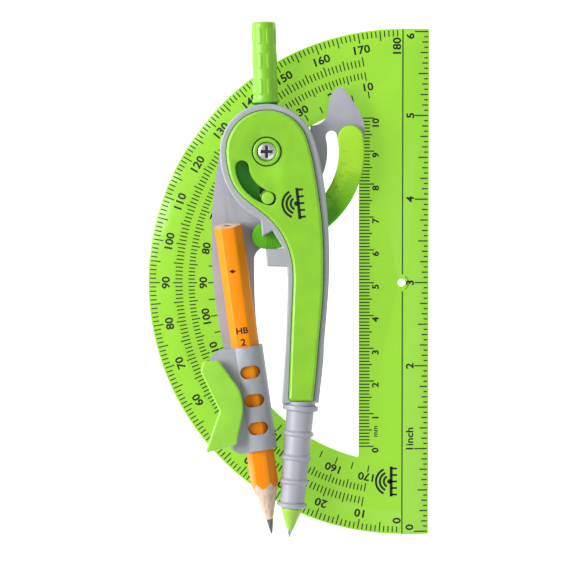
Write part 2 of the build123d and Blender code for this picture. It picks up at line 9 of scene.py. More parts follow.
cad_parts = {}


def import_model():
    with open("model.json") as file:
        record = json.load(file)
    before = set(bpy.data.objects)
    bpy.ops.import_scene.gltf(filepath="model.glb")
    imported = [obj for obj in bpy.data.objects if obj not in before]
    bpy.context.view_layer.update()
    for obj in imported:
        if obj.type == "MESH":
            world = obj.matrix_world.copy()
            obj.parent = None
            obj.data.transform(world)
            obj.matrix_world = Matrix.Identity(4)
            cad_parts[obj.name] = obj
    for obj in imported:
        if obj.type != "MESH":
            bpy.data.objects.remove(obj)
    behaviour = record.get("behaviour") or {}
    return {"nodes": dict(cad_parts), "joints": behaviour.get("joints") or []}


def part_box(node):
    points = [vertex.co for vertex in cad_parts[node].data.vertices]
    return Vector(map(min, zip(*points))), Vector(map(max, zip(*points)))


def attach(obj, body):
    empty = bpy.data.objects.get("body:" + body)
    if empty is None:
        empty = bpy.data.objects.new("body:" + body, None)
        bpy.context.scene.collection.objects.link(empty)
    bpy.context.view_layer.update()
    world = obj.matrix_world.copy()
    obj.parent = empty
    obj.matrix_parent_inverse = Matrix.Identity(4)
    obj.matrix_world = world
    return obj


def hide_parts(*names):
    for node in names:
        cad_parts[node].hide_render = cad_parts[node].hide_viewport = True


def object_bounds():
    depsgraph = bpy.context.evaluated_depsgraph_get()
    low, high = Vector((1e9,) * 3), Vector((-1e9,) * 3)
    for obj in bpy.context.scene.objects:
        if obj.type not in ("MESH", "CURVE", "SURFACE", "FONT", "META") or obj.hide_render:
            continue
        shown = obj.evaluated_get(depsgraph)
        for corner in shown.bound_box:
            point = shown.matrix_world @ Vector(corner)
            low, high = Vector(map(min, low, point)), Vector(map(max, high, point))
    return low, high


MM = 0.001
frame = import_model()
cad_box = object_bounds()

# Looks for the drafting compass set. Lengths are millimetres in the shared frame, and become metres
# where a mesh is made. Distances in materials, the lights and the camera's clipping are in metres.
# "height" and "distance" are measured along a piece's own axis, and angles are turned anticlockwise.
nodes = frame["nodes"]
joints = {joint["name"]: joint for joint in frame["joints"]}


def place_of(joint):
    """Where a joint's axis passes, at rest."""
    return Vector(joints[joint]["pos_m"]) / MM


def top_of(node):
    """Height of a CAD node's highest point."""
    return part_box(node)[1].z / MM


# ---------------------------------------------------------------- sizes shared by several pieces
PLATE_T = top_of("protractor_plate")
RIM_T = 0.9                 # thickness at every bevelled edge of the protractor
RIM_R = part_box("protractor_plate")[1].y / MM
RULE_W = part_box("protractor_plate")[1].x / MM
BEVEL_R = 69.7              # where the outer bevel begins
WINDOW_X = -13.0            # straight side of the window
PIVOT = place_of("needle_leg_swing")
HANDLE_AXIS = radians(91.4)
HOLE_R = 4.5                # hole of the green cover round the pivot
SLOT_HALF = 2.05
SLOT_SWEEP, SLOT_SPARE = radians(59), radians(2)
PIN_REST_R, PIN_PER_RAD = 13.9, 4.98
SCREW_FRONT = 6.9           # crown of the pivot screw, in front of the pivot's middle
GRIP_R, GRIP_LOW, GRIP_HIGH = 3.7, 14.6, 39.0
GRIP_FOOT_R, GRIP_FOOT_H, GRIP_FLARE = 4.2, 2.2, 1.6
GRIP_LIP, GRIP_ROUND = 0.35, 0.9        # rounding at the grip's foot and at its end
GRIP_CROWN = 0.12           # how far the middle of the grip's end bulges
RIB_LONG, RIB_WIDE, RIB_OUT = 5.0, 1.6, 0.2
RIB_ROWS = (19.4, 27.2, 34.6)
RIB_COLUMNS = 8
ARC_OUT = 29.4
ARC_FROM, ARC_TO = -91.5, 9.0
NEEDLE_Z = 1.5              # needle axis and pencil axis, in front of the pivot's middle
BARREL_TOP = Vector((10.2, -76.6, NEEDLE_Z))
BARREL_LEAN = radians(4.9)
BARREL_L, CONE_END, POINT_END = 31.4, 38.0, 40.6
PENCIL_TOP = Vector((-11.6, -23.0, NEEDLE_Z))
PENCIL_LEAN = radians(8.0)


# ---------------------------------------------------------------- materials
# Features per metre of the noises that most materials share.
PATCHES, WAVES, GLOSS_SPOTS = 160, 130, 420
GRAIN_DEPTH, WAVE_DEPTH = 0.00006, 0.0004
FULL_SHADE_Y, NO_SHADE_Y = 22, 36            # where the painted shade on the scale arc is darkest and where it ends, along it


def add(tree, kind, **settings):
    node = tree.nodes.new(kind)
    for name, value in settings.items():
        setattr(node, name, value)
    return node


def noise(tree, scale, detail=3.0, stretch=(1, 1, 1)):
    """Fractal noise in object coordinates, scale in features per metre."""
    place = add(tree, "ShaderNodeTexCoord")
    mapping = add(tree, "ShaderNodeMapping")
    mapping.inputs["Scale"].default_value = stretch
    texture = add(tree, "ShaderNodeTexNoise")
    texture.inputs["Scale"].default_value = scale
    texture.inputs["Detail"].default_value = detail
    tree.links.new(place.outputs["Object"], mapping.inputs["Vector"])
    tree.links.new(mapping.outputs["Vector"], texture.inputs["Vector"])
    return texture.outputs["Fac"]


def ramp(tree, value, stops):
    """Colour ramp with (position, colour) stops."""
    node = add(tree, "ShaderNodeValToRGB")
    elements = node.color_ramp.elements
    while len(elements) < len(stops):
        elements.new(0.5)
    for element, (position, colour) in zip(elements, stops):
        element.position = position
        element.color = (*colour, 1)
    tree.links.new(value, node.inputs["Fac"])
    return node.outputs["Color"]


def spread(tree, value, low, high):
    """Maps noise from 0.3-0.7 to low-high."""
    node = add(tree, "ShaderNodeMapRange")
    node.inputs["From Min"].default_value = 0.3
    node.inputs["From Max"].default_value = 0.7
    node.inputs["To Min"].default_value = low
    node.inputs["To Max"].default_value = high
    tree.links.new(value, node.inputs["Value"])
    return node.outputs["Result"]


def bumped(tree, value, strength, distance, under=None):
    """Bump from a height value, on top of another bump where one is given."""
    node = add(tree, "ShaderNodeBump")
    node.inputs["Strength"].default_value = strength
    node.inputs["Distance"].default_value = distance
    tree.links.new(value, node.inputs["Height"])
    if under is not None:
        tree.links.new(under, node.inputs["Normal"])
    return node.outputs["Normal"]


def shade(colour, factor):
    """A colour made lighter or darker."""
    return tuple(min(1.0, channel * factor) for channel in colour)


def new_material(name):
    material = bpy.data.materials.new(name)
    material.use_nodes = True
    tree = material.node_tree
    return material, tree, tree.nodes["Principled BSDF"]


def plastic(name, colour, gloss, grain, depth, patchiness=0.04, waviness=0.06, **fixed):
    """Moulded plastic: gloss is (low, high) roughness, grain the surface texture per metre."""
    material, tree, shader = new_material(name)
    lighter, darker = shade(colour, 1 + patchiness), shade(colour, 1 - patchiness)
    tint = ramp(tree, noise(tree, PATCHES, 4), [(0.35, darker), (0.65, lighter)])
    tree.links.new(tint, shader.inputs["Base Color"])
    tree.links.new(spread(tree, noise(tree, GLOSS_SPOTS, 5), *gloss), shader.inputs["Roughness"])
    waves = bumped(tree, noise(tree, WAVES, 2), waviness, WAVE_DEPTH)
    texture = bumped(tree, noise(tree, grain, 2), depth, GRAIN_DEPTH, waves)
    tree.links.new(texture, shader.inputs["Normal"])
    for socket, value in fixed.items():
        shader.inputs[socket.replace("_", " ")].default_value = value
    return material


def deepening(name, unshaded_colour, painted_shade_colour):
    """Satin plastic with painted shade: its colour darkens towards its lower end, where the front
    leg shades it.
    """
    material, tree, shader = new_material(name)
    place = add(tree, "ShaderNodeTexCoord")
    split = add(tree, "ShaderNodeSeparateXYZ")
    tree.links.new(place.outputs["Object"], split.inputs["Vector"])
    height = add(tree, "ShaderNodeMapRange")
    height.inputs["From Min"].default_value = FULL_SHADE_Y * MM
    height.inputs["From Max"].default_value = NO_SHADE_Y * MM
    tree.links.new(split.outputs["Y"], height.inputs["Value"])
    uneven = add(tree, "ShaderNodeMath", operation="MULTIPLY_ADD")
    uneven.inputs[1].default_value = 0.12
    tree.links.new(noise(tree, 300, 4), uneven.inputs[0])
    tree.links.new(height.outputs["Result"], uneven.inputs[2])
    tint = ramp(tree, uneven.outputs["Value"], [(0.06, painted_shade_colour), (1.0, unshaded_colour)])
    tree.links.new(tint, shader.inputs["Base Color"])
    tree.links.new(spread(tree, noise(tree, GLOSS_SPOTS, 5), *SATIN), shader.inputs["Roughness"])
    shader.inputs["Specular IOR Level"].default_value = 0.3
    texture = bumped(tree, noise(tree, 4200, 2), 0.2, GRAIN_DEPTH)
    tree.links.new(texture, shader.inputs["Normal"])
    return material


def ink(name, colour):
    """Printed ink, a little uneven in colour and gloss."""
    material, tree, shader = new_material(name)
    worn = ramp(tree, noise(tree, 900, 4), [(0.3, shade(colour, 0.8)), (0.75, shade(colour, 1.35))])
    tree.links.new(worn, shader.inputs["Base Color"])
    tree.links.new(spread(tree, noise(tree, 1500, 3), 0.35, 0.55), shader.inputs["Roughness"])
    return material


def metal(name, colour, gloss):
    """Plated or bare metal with dull spots."""
    material, tree, shader = new_material(name)
    shader.inputs["Metallic"].default_value = 1.0
    tint = ramp(tree, noise(tree, 700, 5), [(0.3, shade(colour, 0.75)), (0.7, shade(colour, 1.1))])
    tree.links.new(tint, shader.inputs["Base Color"])
    tree.links.new(spread(tree, noise(tree, 1800, 4), *gloss), shader.inputs["Roughness"])
    tree.links.new(bumped(tree, noise(tree, 3000, 3), 0.15, 0.00003), shader.inputs["Normal"])
    return material


def wood(name):
    """Cedar: pale, with short pores and fine grain along the pencil."""
    material, tree, shader = new_material(name)
    grain = noise(tree, 1500, 4, stretch=(1, 0.1, 1))
    light, dark = (0.74, 0.58, 0.44), (0.55, 0.38, 0.26)
    tree.links.new(ramp(tree, grain, [(0.3, dark), (0.55, light)]), shader.inputs["Base Color"])
    shader.inputs["Roughness"].default_value = 0.75
    tree.links.new(bumped(tree, grain, 0.5, 0.00008), shader.inputs["Normal"])
    return material


# Lowest and highest roughness of each finish.
GLOSSY, SATIN, MATT = (0.2, 0.32), (0.34, 0.46), (0.42, 0.55)
INK = (0.003, 0.01, 0.002)
MATERIALS = {
    "cover_green": plastic(
        "cover_green", (0.265, 0.62, 0.025), GLOSSY, 2600, 0.04, Coat_Weight=0.2,
    ),
    "grip_green": plastic(
        "grip_green", (0.235, 0.6, 0.022), (0.26, 0.38), 2600, 0.05, Coat_Weight=0.1,
    ),
    # The scale arc's colours darken towards its lower end: painted shade under the front leg.
    "arc_green": deepening("arc_green", (0.39, 0.76, 0.035), (0.115, 0.5, 0.006)),
    "arc_relief_painted_shade": deepening("arc_relief_painted_shade", (0.3, 0.64, 0.03), (0.06, 0.33, 0.004)),
    "lever_green": plastic(
        "lever_green", (0.31, 0.69, 0.05), GLOSSY, 3000, 0.05, Coat_Weight=0.2,
    ),
    "nose_green": plastic("nose_green", (0.36, 0.66, 0.075), SATIN, 3000, 0.06),
    # Darker copy of the grip's green, for the handle plate: painted shade where it shows in the
    # cover's slot.
    "painted_shade_green": plastic("painted_shade_green", (0.05, 0.4, 0.01), SATIN, 4200, 0.16),
    "frame_grey": plastic("frame_grey", (0.4, 0.398, 0.45), MATT, 5200, 0.22),
    "shell_grey": plastic("shell_grey", (0.4, 0.42, 0.45), MATT, 5200, 0.2),
    "sleeve_grey": plastic("sleeve_grey", (0.375, 0.395, 0.435), MATT, 5200, 0.2),
    "barrel_grey": plastic("barrel_grey", (0.43, 0.43, 0.49), SATIN, 5200, 0.2),
    "white_nylon": plastic("white_nylon", (0.78, 0.78, 0.75), MATT, 3600, 0.15),
    # The plate's emission is painted light: it glows so that shadows cast on it stay faint.
    "clear_green": plastic(
        "clear_green", (0.168, 0.354, 0.013), (0.16, 0.26), 2400, 0.03, 0.03, Alpha=0.86,
        Emission_Color=(0.37, 0.84, 0.03, 1), Emission_Strength=0.48,
    ),
    "lacquer": plastic(
        "lacquer", (0.87, 0.26, 0.003), (0.3, 0.42), 1800, 0.05, 0.03, 0.02,
        Specular_Tint=(1, 0.8, 0.35, 1),
    ),
    "wood": wood("wood"),
    "graphite": plastic("graphite", (0.12, 0.12, 0.13), (0.3, 0.45), 4000, 0.4, 0.15),
    "zinc": metal("zinc", (0.66, 0.66, 0.68), (0.25, 0.42)),
    "screw_zinc": metal("screw_zinc", (0.86, 0.86, 0.88), (0.28, 0.4)),
    # Dark zinc for the screw's recess: painted shade.
    "painted_shade_zinc": metal("painted_shade_zinc", (0.1, 0.1, 0.14), (0.4, 0.5)),
    "dark_ink": ink("dark_ink", INK),
    "tick_ink": ink("tick_ink", shade(INK, 4)),
    "line_ink": ink("line_ink", (0.03, 0.13, 0.01)),
    "pencil_ink": ink("pencil_ink", (0.012, 0.005, 0.002)),
}


# ---------------------------------------------------------------- making pieces
def dress(obj, body, slot, *materials):
    """Gives a piece its materials and the body that it moves with; the slot argument is not used."""
    for name in materials:
        obj.data.materials.append(MATERIALS[name])
    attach(obj, body)
    return obj


def mesh_piece(name, vertices, faces, body, slot, *materials, smooth=True):
    """A piece from vertices in millimetres in the shared frame."""
    mesh = bpy.data.meshes.new(name)
    mesh.from_pydata([Vector(v) * MM for v in vertices], [], faces)
    build = bmesh.new()
    build.from_mesh(mesh)
    bmesh.ops.recalc_face_normals(build, faces=build.faces)
    build.to_mesh(mesh)
    build.free()
    mesh.polygons.foreach_set("use_smooth", [smooth] * len(mesh.polygons))
    obj = bpy.data.objects.new(name, mesh)
    bpy.context.scene.collection.objects.link(obj)
    return dress(obj, body, slot, *materials)


def crease(build, least=radians(3), level=0.9):
    """Marks the folds between nearly level faces, which would otherwise be shaded as one."""
    for edge in build.edges:
        if len(edge.link_faces) == 2 and min(face.normal.z for face in edge.link_faces) > level:
            edge.smooth = edge.calc_face_angle() < least


def rounded(node, name, body, slot, *materials, width=0.2, segments=2, sharp=32):
    """Stands in for a CAD node: the same solid with its sharp edges rounded off."""
    mesh = nodes[node].data.copy()
    mesh.name = name
    mesh.materials.clear()
    build = bmesh.new()
    build.from_mesh(mesh)
    bmesh.ops.remove_doubles(build, verts=build.verts, dist=0.002 * MM)
    bmesh.ops.dissolve_limit(build, angle_limit=radians(1.0), verts=build.verts, edges=build.edges)
    for face in build.faces:
        face.smooth = True
    for edge in build.edges:
        edge.smooth = True
    crease(build)
    build.to_mesh(mesh)
    build.free()
    obj = bpy.data.objects.new(name, mesh)
    bpy.context.scene.collection.objects.link(obj)
    bevel = obj.modifiers.new("round", "BEVEL")
    bevel.width = width * MM
    bevel.segments = segments
    bevel.limit_method = "ANGLE"
    bevel.angle_limit = radians(sharp)
    bevel.use_clamp_overlap = True
    bevel.harden_normals = True
    dress(obj, body, slot, *materials)
    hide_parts(node)
    return obj


def surface_of(obj, above=100):
    """Height of a piece's upper surface at a place, from a ray cast straight down on it."""
    corners = [vertex.co / MM for vertex in obj.data.vertices]
    tree = BVHTree.FromPolygons(corners, [tuple(face.vertices) for face in obj.data.polygons])

    def level(x, y):
        return tree.ray_cast(Vector((x, y, above)), Vector((0, 0, -1)))[0].z

    return level


def lathe(profile, axis_frame, sides=96):
    """Vertices and faces of a turned solid: (radius, distance) points spun about the frame's +Z."""
    vertices, faces = [axis_frame @ Vector((0, 0, profile[0][1]))], []
    for radius, distance in profile:
        for k in range(sides):
            angle = 2 * pi * k / sides
            spot = Vector((radius * cos(angle), radius * sin(angle), distance))
            vertices.append(axis_frame @ spot)
    vertices.append(axis_frame @ Vector((0, 0, profile[-1][1])))
    for k in range(sides):
        after = (k + 1) % sides
        faces.append((0, 1 + after, 1 + k))
        last = len(vertices) - 1 - sides
        faces.append((len(vertices) - 1, last + k, last + after))
        for ring in range(len(profile) - 1):
            low, high = 1 + ring * sides, 1 + (ring + 1) * sides
            faces.append((low + k, low + after, high + after, high + k))
    return vertices, faces


def pointing(top, lean):
    """Frame of a long piece: +Z from its top to its tip, +Y to the front."""
    down = Vector((sin(lean), -cos(lean), 0))
    right = Vector((cos(lean), sin(lean), 0))
    axes = Matrix((right, Vector((0, 0, 1)), down)).transposed().to_4x4()
    return Matrix.Translation(PIVOT + top) @ axes


def smooth_steps(points, step):
    """A profile sampled evenly along straight runs between its points."""
    out = []
    for (r0, s0), (r1, s1) in zip(points, points[1:]):
        count = max(1, round(hypot(r1 - r0, s1 - s0) / step))
        out += [(r0 + (r1 - r0) * k / count, s0 + (s1 - s0) * k / count) for k in range(count)]
    return out + [points[-1]]


def quarter(radius, distance, size, start, turn=90, count=5):
    """Points of a rounded corner about a centre, from an angle on by a turn, in degrees."""
    angles = [radians(start + turn * k / count) for k in range(count + 1)]
    return [(radius + size * cos(a), distance + size * sin(a)) for a in angles]


# ---------------------------------------------------------------- needle end
BARREL = pointing(BARREL_TOP, -BARREL_LEAN)
COLLAR_R, COLLAR_L, COLLAR_ROUND = 5.0, 1.2, 0.35
COLLAR_STEP = ((4.6, 0.0), (4.75, 1.62), (4.3, 1.72), (4.05, 1.85))  # radius and distance
STEM_FROM, STEM_R, STEM_TAPER = 2.0, 4.15, 0.45
STEM_ROUND = 0.3            # rounding at the barrel's lower end
RINGS = ((8.65, 4.75), (16.0, 4.6), (23.3, 4.5), (30.5, 4.65))      # distance and radius
RING_TUBE = 0.75
GROOVE, GROOVE_WIDTH = 0.2, 0.12        # fine groove above each ring
CONE_R, CONE_WAIST_R, CONE_END_R = 3.12, 2.9, 1.1
POINT_R, POINT_NECK_R, POINT_TIP_R = 0.98, 0.66, 0.12
POINT_ROOT, POINT_ROOT_R = 2.0, 0.5     # the part of the point that is inside the cone


def barrel_radius(distance):
    """Outer radius of the barrel below its collar: a slim taper with rounded rings."""
    radius = STEM_R - STEM_TAPER * (distance - STEM_FROM) / (BARREL_L - STEM_FROM)
    for place, ring in RINGS:
        off = abs(distance - place)
        if off < RING_TUBE:
            radius = max(radius, ring - RING_TUBE + sqrt(RING_TUBE**2 - off**2))
        above = distance - place + RING_TUBE + GROOVE_WIDTH
        radius -= GROOVE * exp(-((above / GROOVE_WIDTH) ** 2))
    return radius


def needle_barrel():
    """Ringed barrel, from its collar down."""
    profile = [COLLAR_STEP[0]]
    profile += quarter(COLLAR_R, COLLAR_ROUND, COLLAR_ROUND, -90)
    profile += quarter(COLLAR_R, COLLAR_L, COLLAR_ROUND, 0, 70)
    profile += COLLAR_STEP[1:]
    steps = 260
    end = BARREL_L - STEM_ROUND - 0.05
    for k in range(steps + 1):
        distance = STEM_FROM + (end - STEM_FROM) * k / steps
        profile.append((barrel_radius(distance), distance))
    profile += quarter(3.3, BARREL_L - STEM_ROUND, STEM_ROUND, 0)
    made = lathe(profile, BARREL)
    barrel = mesh_piece("needle_barrel_turned", *made, "needle_leg", "grey_plastic", "barrel_grey")
    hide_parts("needle_barrel")


def nose_cone():
    """Green cone with a rounded shoulder and a small flat end."""
    shoulder, end_round = 0.3, 0.12
    side = [
        (CONE_R, BARREL_L + 0.9),
        (CONE_WAIST_R, BARREL_L + 1.5),
        (CONE_END_R, CONE_END - 0.15),
    ]
    profile = [(2.6, BARREL_L + 0.05)]
    profile += quarter(CONE_WAIST_R, BARREL_L + 0.05 + shoulder, shoulder, -90)
    profile += smooth_steps(side, 0.25)
    profile += quarter(CONE_END_R - 0.15, CONE_END - end_round, end_round, 20, 70)
    made = lathe(profile, BARREL, 72)
    cone = mesh_piece("nose_cone_turned", *made, "needle_leg", "green_plastic", "nose_green")
    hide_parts("nose_cone")


def needle_point():
    """Short steel point, with its root inside the cone."""
    root = [(POINT_ROOT_R, CONE_END - POINT_ROOT), (POINT_ROOT_R, CONE_END - 0.1)]
    outside = [(POINT_R, CONE_END), (POINT_NECK_R, CONE_END + 1.2), (POINT_TIP_R, POINT_END)]
    profile = smooth_steps(root, 0.2) + smooth_steps(outside, 0.2)
    made = lathe(profile, BARREL, 32)
    point = mesh_piece("needle_point_ground", *made, "needle_leg", "steel", "zinc")
    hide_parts("needle_point")


# ---------------------------------------------------------------- handle
def rib_height(angle, height):
    """How far the moulded ribs stand out of the grip at one place."""
    column = 2 * pi / RIB_COLUMNS
    across = (angle - column / 2) % column
    across = min(across, column - across) * GRIP_R
    tallest = 0.0
    for row in RIB_ROWS:
        along = max(0.0, abs(height - row) - (RIB_LONG - RIB_WIDE) / 2)
        away = hypot(across, along) / (RIB_WIDE / 2)
        if away < 1:
            tallest = max(tallest, RIB_OUT * (1 - away**4))
    return tallest


def corner_loss(reach, size):
    """How much a rounded corner takes off a radius, at a distance from the end."""
    return size - sqrt(max(0.0, size**2 - (size - reach) ** 2)) if reach < size else 0.0


def grip_radius(height):
    """Radius of the grip between its ribs, with its flared foot and rounded ends."""
    above, below = height - GRIP_LOW, GRIP_HIGH - height
    radius = GRIP_R
    if above < GRIP_FOOT_H:
        radius += (GRIP_FOOT_R - GRIP_R) * (1 - above / GRIP_FOOT_H) ** GRIP_FLARE
    return radius - corner_loss(above, GRIP_LIP) - corner_loss(below, GRIP_ROUND)


def grip():
    """The ribbed grip as one closed skin."""
    right = Vector((sin(HANDLE_AXIS), -cos(HANDLE_AXIS), 0))
    up = Vector((cos(HANDLE_AXIS), sin(HANDLE_AXIS), 0))
    front = Vector((0, 0, 1))
    sides, lip_rows, long_rows, end_rows, crown_rows = 224, 8, 190, 10, 6
    start, run = GRIP_LOW + GRIP_LIP, GRIP_HIGH - GRIP_ROUND - GRIP_LOW - GRIP_LIP
    heights = [GRIP_LOW + GRIP_LIP * (k / lip_rows) ** 2 for k in range(lip_rows)]
    heights += [start + run * k / long_rows for k in range(long_rows)]
    heights += [GRIP_HIGH - GRIP_ROUND * (1 - k / end_rows) ** 2 for k in range(end_rows + 1)]
    rows = [(grip_radius(h), h) for h in heights]
    end_radius = rows[-1][0]
    for k in range(1, crown_rows):
        rise = GRIP_CROWN * sin(pi / 2 * k / crown_rows)
        rows.append((end_radius * (1 - k / crown_rows), GRIP_HIGH + rise))
    vertices, faces = [], []
    for base, height in rows:
        for k in range(sides):
            angle = 2 * pi * k / sides
            radius = base + rib_height(angle, height)
            spoke = right * radius * sin(angle) + front * radius * cos(angle)
            vertices.append(PIVOT + up * height + spoke)
    for row in range(len(rows) - 1):
        for k in range(sides):
            after = (k + 1) % sides
            low, high = row * sides, (row + 1) * sides
            faces.append((low + k, low + after, high + after, high + k))
    bottom = len(vertices)
    vertices += [PIVOT + up * GRIP_LOW, PIVOT + up * (GRIP_HIGH + GRIP_CROWN + 0.01)]
    last = (len(rows) - 1) * sides
    for k in range(sides):
        after = (k + 1) % sides
        faces.append((bottom, after, k))
        faces.append((bottom + 1, last + k, last + after))
    return mesh_piece("handle_grip", vertices, faces, "handle", "green_plastic", "grip_green")


def handle_plate():
    """The CAD handle below its grip: the flat plate between the legs, ending inside the grip."""
    # The plate, moulded with the grip, gets a darker green: painted shade.
    obj = rounded("handle", "handle_plate", "handle", "green_plastic", "painted_shade_green", width=0.12)
    build = bmesh.new()
    build.from_mesh(obj.data)
    up = Vector((cos(HANDLE_AXIS), sin(HANDLE_AXIS), 0))
    inside_grip = 0.4
    cut = (PIVOT + up * (GRIP_LOW + inside_grip)) * MM
    everything = build.verts[:] + build.edges[:] + build.faces[:]
    bmesh.ops.bisect_plane(build, geom=everything, plane_co=cut, plane_no=up, clear_outer=True)
    rims = [edge for edge in build.edges if edge.is_boundary]
    bmesh.ops.holes_fill(build, edges=rims)
    build.to_mesh(obj.data)
    build.free()
    return obj


# ---------------------------------------------------------------- pencil
PENCIL = pointing(PENCIL_TOP, PENCIL_LEAN)
BORE_REACH = 1.6            # faces nearer the axis than this are the lead's bore
SLOPED = 0.1                # faces that look along the axis more than this are bare wood
PRINT_TURN = 8.0            # the print follows the pencil's lean
DIAMOND = ((1.0, 0), (0, 0.6), (-1.0, 0), (0, -0.6))
DIAMOND_AT, LETTERS_AT, FIGURE_AT = Vector((-51.2, 4.0)), (-48.4, -13.8), (-48.0, -17.3)


def pencil_casing():
    """Lacquered sides, bare wood on the cone, the upper end and in the bore, and the print."""
    obj = rounded(
        "pencil_casing", "pencil_casing_painted", "pencil", "pencil_wood", "lacquer", "wood",
        width=0.06,
    )
    axis = (PENCIL.to_3x3() @ Vector((0, 0, 1))).normalized()
    for face in obj.data.polygons:
        spoke = face.center / MM - PENCIL.translation
        in_bore = (spoke - axis * spoke.dot(axis)).length < BORE_REACH
        if in_bore or abs(face.normal.dot(axis)) > SLOPED:
            face.material_index = 1
    grade = Print(surface_of(obj), 0.05)
    grade.text("HB", LETTERS_AT, 1.9, PRINT_TURN, 0.06)
    grade.text("2", FIGURE_AT, 2.1, PRINT_TURN, 0.06)
    grade.outline([DIAMOND_AT + Vector(corner) for corner in DIAMOND])
    grade.piece("pencil_print", "pencil", "pencil_wood", "pencil_ink")


# ---------------------------------------------------------------- printing
INK_T = 0.03                # how far the ink stands out of a face, and goes into it
TICK = 0.36                 # width of a degree mark
CAPITAL = 0.73              # height of a capital in lettering of size 1
LETTER_WIDTH = 1.12         # the lettering is stretched sideways by this
BOLD = 0.09                 # the strokes of figures are thickened by this
DEGREE_SIZE, INNER_DEGREE_SIZE, INCH_SIZE, CM_SIZE = 2.45, 2.35, 2.35, 2.0
DEGREE_R, INNER_DEGREE_R = 71.8, 60.4
# Radii of the degree marks: where they start, and where each fifth one and the others end.
RIM_MARKS = (76.6, 73.6, 74.7)
LINE_MARKS = ((66.6, 69.5, 68.8), (64.8, 62.2, 62.9))
INNER_MARKS = (58.9, 56.8)  # of each fifth degree only
FIRST_INNER, LAST_INNER = 10, 170       # the inner marks leave the straight edge free


def plate_level(x, y):
    """Height of the protractor's upper face."""
    if x > 0:
        return PLATE_T + (RIM_T - PLATE_T) * x / RULE_W
    radius = hypot(x, y)
    if radius > BEVEL_R:
        return PLATE_T + (RIM_T - PLATE_T) * (radius - BEVEL_R) / (RIM_R - BEVEL_R)
    return PLATE_T


class Print:
    """Ink laid on a face: strokes and lettering gathered into one thin closed mesh."""

    def __init__(self, level, thickness=INK_T):
        self.level, self.thickness = level, thickness
        self.vertices, self.faces = [], []

    def outline(self, points):
        """One filled shape from its corners, anticlockwise."""
        start, count = len(self.vertices), len(points)
        for lift in (-self.thickness, self.thickness):
            self.vertices += [(x, y, self.level(x, y) + lift) for x, y in points]
        self.faces.append(tuple(start + k for k in reversed(range(count))))
        self.faces.append(tuple(start + count + k for k in range(count)))
        for k in range(count):
            after = (k + 1) % count
            self.faces.append((start + k, start + after, start + count + after, start + count + k))

    def stroke(self, start, end, width):
        """Straight stroke with square ends."""
        start, end = Vector(start), Vector(end)
        along = (end - start).normalized()
        side = Vector((-along.y, along.x)) * width / 2
        self.outline([start - side, end - side, end + side, start + side])

    def bend(self, centre, radius, start, end, width, count=16):
        """Curved stroke about a centre, angles in degrees."""
        angles = [radians(start + (end - start) * k / count) for k in range(count + 1)]
        outer = [Vector(centre) + Vector((cos(a), sin(a))) * (radius + width / 2) for a in angles]
        inner = [Vector(centre) + Vector((cos(a), sin(a))) * (radius - width / 2) for a in angles]
        for k in range(count):
            self.outline([inner[k], outer[k], outer[k + 1], inner[k + 1]])

    def text(self, words, place, height, turn=0.0, bold=0.0):
        """Lettering centred on a place, turned anticlockwise in degrees."""
        curve = bpy.data.curves.new("lettering", "FONT")
        curve.body = words
        curve.size = height / CAPITAL
        curve.offset = bold
        curve.resolution_u = 3
        curve.align_x = "CENTER"
        curve.extrude = self.thickness
        source = bpy.data.objects.new("lettering", curve)
        mesh = bpy.data.meshes.new_from_object(source)
        rotation = Matrix.Rotation(radians(turn), 2)
        start = len(self.vertices)
        for vertex in mesh.vertices:
            flat = rotation @ Vector((vertex.co.x * LETTER_WIDTH, vertex.co.y - height / 2))
            x, y = flat.x + place[0], flat.y + place[1]
            self.vertices.append((x, y, self.level(x, y) + vertex.co.z))
        self.faces += [tuple(start + k for k in face.vertices) for face in mesh.polygons]
        bpy.data.objects.remove(source)
        bpy.data.curves.remove(curve)
        bpy.data.meshes.remove(mesh)

    def piece(self, name, body, slot, material):
        """Makes the gathered print a piece."""
        return mesh_piece(name, self.vertices, self.faces, body, slot, material, smooth=False)


def dial(radius, degree):
    """Place on the protractor at a degree of its outer scale."""
    return Vector((-radius * sin(radians(degree)), -radius * cos(radians(degree))))


def degree_ticks(marks):
    """Marks of the outer scale, on both sides of the inner scale's line, and of its figures."""
    for degree in range(1, 180):
        fifth = degree % 5 == 0
        inner = LINE_MARKS if FIRST_INNER <= degree <= LAST_INNER else ()
        for start, long_end, short_end in (RIM_MARKS, *inner):
            end = long_end if fifth else short_end
            marks.stroke(dial(start, degree), dial(end, degree), TICK)
        if fifth and inner:
            marks.stroke(*(dial(radius, degree) for radius in INNER_MARKS), TICK)


def degree_numbers(lettering):
    """Outer figures from the lower end on, inner ones from the upper end on."""
    for degree in range(10, 180, 10):
        upright = 180 - degree
        lettering.text(str(degree), dial(DEGREE_R, degree), DEGREE_SIZE, upright, BOLD)
        inner = dial(INNER_DEGREE_R, degree)
        lettering.text(str(180 - degree), inner, INNER_DEGREE_SIZE, upright, BOLD)
    lettering.text("0", (-1.4, -72.9), DEGREE_SIZE, 90, BOLD)
    lettering.text("180", (-1.6, 71.6), DEGREE_SIZE, 90, BOLD)


def centimetre_rule(marks, lettering):
    """Ten centimetres along the window, with the middle at the protractor's centre."""
    figures_x = -8.0
    for millimetre in range(101):
        y = millimetre - 50
        reach = 4.6 if millimetre % 10 == 0 else 4.0 if millimetre % 5 == 0 else 3.3
        marks.stroke((WINDOW_X + 0.1, y), (WINDOW_X + reach, y), 0.38)
    for centimetre in range(11):
        shift = -1.2 if centimetre < 10 else -1.6
        place = (figures_x, centimetre * 10 - 50 + shift)
        lettering.text(str(centimetre), place, CM_SIZE, 90, BOLD)
    lettering.text("mm", (figures_x, -45.4), 1.5, 90, 0.04)


